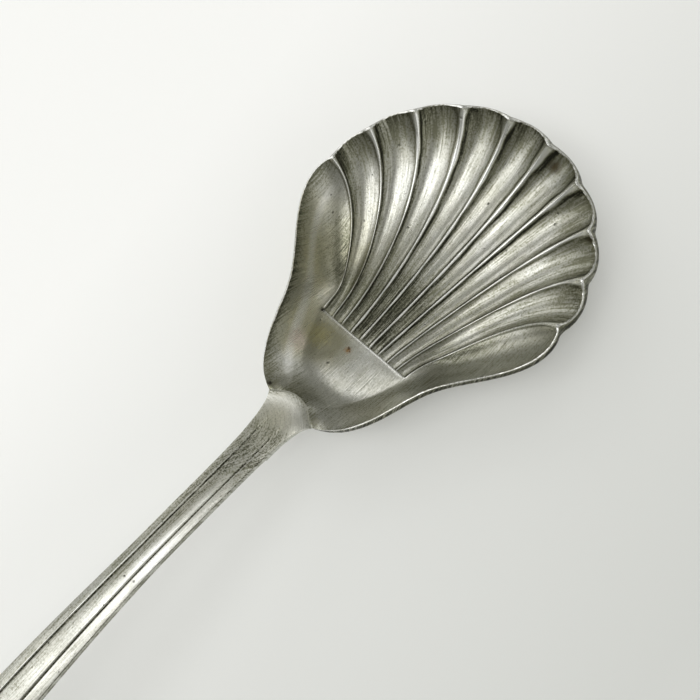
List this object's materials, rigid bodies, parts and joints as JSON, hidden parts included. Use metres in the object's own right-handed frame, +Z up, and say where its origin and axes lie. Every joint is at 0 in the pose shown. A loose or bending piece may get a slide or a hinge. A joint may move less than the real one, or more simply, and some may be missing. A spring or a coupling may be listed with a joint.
{
  "type": "sugar spoon",
  "caption": "Sugar spoon with a scalloped, fluted shell bowl and a slim arched handle with engraved border lines, in worn silver-plated metal.",
  "frame": {"origin": "on the table, under the middle of the spoon's length and width, with the spoon lying bowl upwards", "axes": "+X along the spoon towards the bowl's tip, +Y across it to the left, +Z up from the table"},
  "size_m": [0.1519, 0.043, 0.0174],
  "materials": {
    "worn_bowl_plate": "worn, tarnished silver plate with brushed scratches and pits",
    "brushed_handle_plate": "brushed silver plate, brighter on the bevels and dark in the engraved lines",
    "silver_solder": "dull grey solder line"
  },
  "bodies": {
    "root": {"bowl": "worn_bowl_plate", "handle": "brushed_handle_plate", "solder_seam": "silver_solder"}
  },
  "joints": []
}
